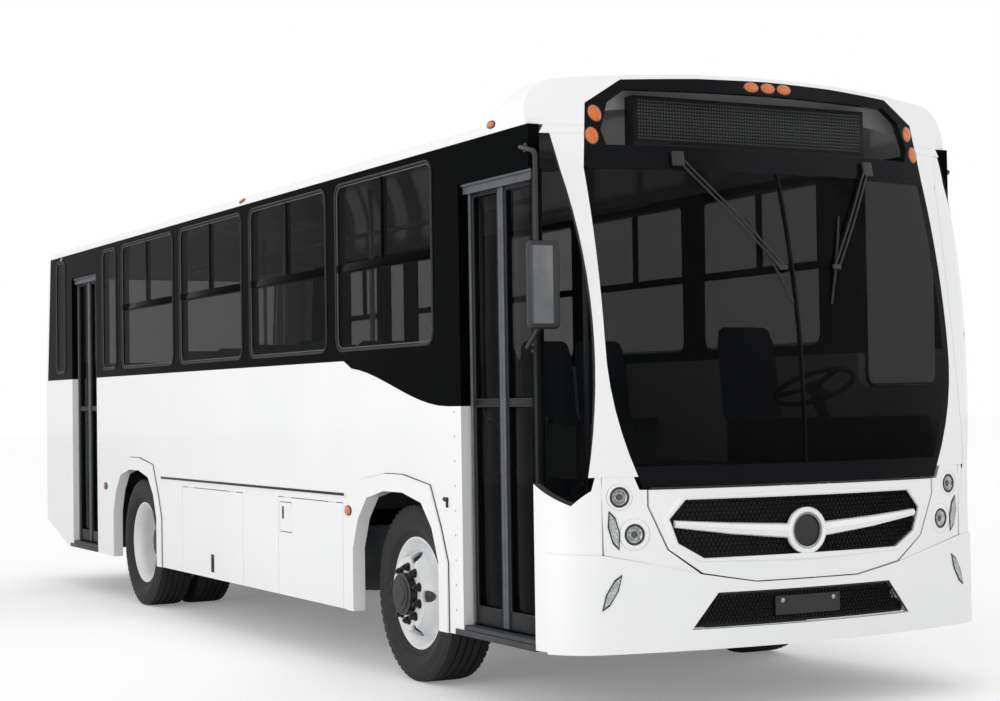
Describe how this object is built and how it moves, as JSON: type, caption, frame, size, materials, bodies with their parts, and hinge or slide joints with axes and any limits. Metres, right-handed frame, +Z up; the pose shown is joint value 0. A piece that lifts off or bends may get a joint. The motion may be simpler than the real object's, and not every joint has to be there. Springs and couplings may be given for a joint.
{
  "type": "urban passenger bus",
  "caption": "Front-engined single-deck urban passenger bus with a curved front, two passenger doors on the right, opening flaps, steered front wheels and twin rear wheels.",
  "frame": {"origin": "on the ground under the middle of the bounding box", "axes": "+X forward along the bus, +Y to its left, +Z up"},
  "size_m": [9.42, 2.8, 3.085],
  "materials": {
    "white_paint": "gloss",
    "black_gloss": "gloss",
    "tinted_glass": "polished",
    "black_plastic": "satin",
    "lamp_clear": "polished",
    "lamp_amber": "gloss",
    "lamp_red": "gloss",
    "chassis_paint": "satin",
    "cast_iron": "rough",
    "cooler_core": "matt",
    "tank_metal": "satin",
    "floor_cover": "matt",
    "seat_plastic": "satin",
    "rail_steel": "gloss",
    "door_frame": "satin",
    "wheel_white": "gloss",
    "tyre": "matt"
  },
  "bodies": {
    "body": {"chassis_frame": "chassis_paint", "engine": "cast_iron", "radiator": "cooler_core", "drive_shaft": "chassis_paint", "front_axle": "chassis_paint", "rear_axle": "chassis_paint", "leaf_springs": "chassis_paint", "tanks": "tank_metal", "floor_bearers": "chassis_paint", "floor": "floor_cover", "wheel_housings": "floor_cover", "stepwells": "floor_cover", "wall_right": "white_paint", "band_right": "black_gloss", "wall_left": "white_paint", "band_left": "black_gloss", "roof": "white_paint", "rear_wall": "white_paint", "front_mask": "white_paint", "front_dome": "white_paint", "lamp_panels": "white_paint", "front_fascia": "black_gloss", "front_bumper": "white_paint", "bumper_grille": "black_plastic", "front_glass": "tinted_glass", "body_glass": "tinted_glass", "quarter_glass": "tinted_glass", "destination_sign": "black_plastic", "headlamps": "lamp_clear", "marker_lamps": "lamp_amber", "tail_lamps": "lamp_red", "side_trim": "white_paint", "dashboard": "black_plastic", "seats": "seat_plastic", "handrails": "rail_steel", "mirrors": "black_plastic", "wipers": "black_plastic"},
    "knuckle_left": {"knuckle_left": "chassis_paint"},
    "knuckle_right": {"knuckle_right": "chassis_paint"},
    "tie_rod": {"tie_rod": "chassis_paint"},
    "wheel_fl": {"rim_fl": "wheel_white", "tyre_fl": "tyre"},
    "wheel_fr": {"rim_fr": "wheel_white", "tyre_fr": "tyre"},
    "wheel_rl": {"rim_rl": "wheel_white", "tyre_rl": "tyre"},
    "wheel_rr": {"rim_rr": "wheel_white", "tyre_rr": "tyre"},
    "front_door_fore": {"front_door_fore": "door_frame"},
    "front_door_aft": {"front_door_aft": "door_frame"},
    "rear_door_fore": {"rear_door_fore": "door_frame"},
    "rear_door_aft": {"rear_door_aft": "door_frame"},
    "service_flap": {"service_flap": "white_paint"},
    "tank_flap": {"tank_flap": "white_paint"},
    "filler_door": {"filler_door": "white_paint"},
    "hood": {"hood": "white_paint", "hood_grille": "black_plastic"},
    "front_hatch": {"front_hatch": "white_paint"},
    "rear_hatch": {"rear_hatch": "white_paint"},
    "steering_wheel": {"steering_wheel": "black_plastic"}
  },
  "joints": [
    {"name": "steer_left", "type": "hinge", "parent": "body", "child": "knuckle_left", "pos_m": [2.75, 0.87, 0.478], "axis": [0, 0, 1], "range_deg": [-40, 40]},
    {"name": "steer_right", "type": "hinge", "parent": "body", "child": "knuckle_right", "pos_m": [2.75, -0.87, 0.478], "axis": [0, 0, 1], "range_deg": [-40, 40]},
    {"name": "tie_rod_pivot", "type": "hinge", "parent": "knuckle_left", "child": "tie_rod", "pos_m": [2.54, 0.87, 0.308], "axis": [0, 0, 1], "range_deg": [-40, 40]},
    {"name": "spin_fl", "type": "hinge", "parent": "knuckle_left", "child": "wheel_fl", "pos_m": [2.75, 1.04, 0.478], "axis": [0, 1, 0], "continuous": true},
    {"name": "spin_fr", "type": "hinge", "parent": "knuckle_right", "child": "wheel_fr", "pos_m": [2.75, -1.04, 0.478], "axis": [0, 1, 0], "continuous": true},
    {"name": "spin_rl", "type": "hinge", "parent": "body", "child": "wheel_rl", "pos_m": [-1.97, 0.935, 0.478], "axis": [0, 1, 0], "continuous": true},
    {"name": "spin_rr", "type": "hinge", "parent": "body", "child": "wheel_rr", "pos_m": [-1.97, -0.935, 0.478], "axis": [0, 1, 0], "continuous": true},
    {"name": "steering_wheel_turn", "type": "hinge", "parent": "body", "child": "steering_wheel", "pos_m": [3.86, 0.7, 1.56], "axis": [-0.4226, 0, 0.9063], "range_deg": [-760, 760]},
    {"name": "front_door_fore_swing", "type": "hinge", "parent": "body", "child": "front_door_fore", "pos_m": [4.265, -1.209, 1.5], "axis": [0, 0, 1], "range_deg": [-88, 0]},
    {"name": "front_door_aft_swing", "type": "hinge", "parent": "body", "child": "front_door_aft", "pos_m": [3.585, -1.209, 1.5], "axis": [0, 0, 1], "range_deg": [0, 88]},
    {"name": "rear_door_fore_swing", "type": "hinge", "parent": "body", "child": "rear_door_fore", "pos_m": [-3.04, -1.209, 1.5], "axis": [0, 0, 1], "range_deg": [-88, 0]},
    {"name": "rear_door_aft_swing", "type": "hinge", "parent": "body", "child": "rear_door_aft", "pos_m": [-3.72, -1.209, 1.5], "axis": [0, 0, 1], "range_deg": [0, 88]},
    {"name": "service_flap_lift", "type": "hinge", "parent": "body", "child": "service_flap", "pos_m": [-0.24, -1.273, 0.9405], "axis": [-1, 0, 0], "range_deg": [0, 88]},
    {"name": "tank_flap_lift", "type": "hinge", "parent": "body", "child": "tank_flap", "pos_m": [1.52, -1.273, 0.9405], "axis": [-1, 0, 0], "range_deg": [0, 88]},
    {"name": "filler_door_swing", "type": "hinge", "parent": "tank_flap", "child": "filler_door", "pos_m": [1.2375, -1.273, 0.818], "axis": [0, 0, 1], "range_deg": [0, 100]},
    {"name": "hood_lift", "type": "hinge", "parent": "body", "child": "hood", "pos_m": [4.695, 0, 1.0964], "axis": [0, -1, 0], "range_deg": [0, 70]},
    {"name": "front_hatch_lift", "type": "hinge", "parent": "body", "child": "front_hatch", "pos_m": [1.705, 0, 3.022], "axis": [0, -1, 0], "range_deg": [0, 25]},
    {"name": "rear_hatch_lift", "type": "hinge", "parent": "body", "child": "rear_hatch", "pos_m": [-2.695, 0, 3.022], "axis": [0, -1, 0], "range_deg": [0, 25]}
  ],
  "couplings": [
    {"joint": "steer_right", "follows": "steer_left", "ratio": 1},
    {"joint": "tie_rod_pivot", "follows": "steer_left", "ratio": -1},
    {"joint": "steering_wheel_turn", "follows": "steer_left", "ratio": 19},
    {"joint": "front_door_aft_swing", "follows": "front_door_fore_swing", "ratio": -1},
    {"joint": "rear_door_aft_swing", "follows": "rear_door_fore_swing", "ratio": -1}
  ]
}
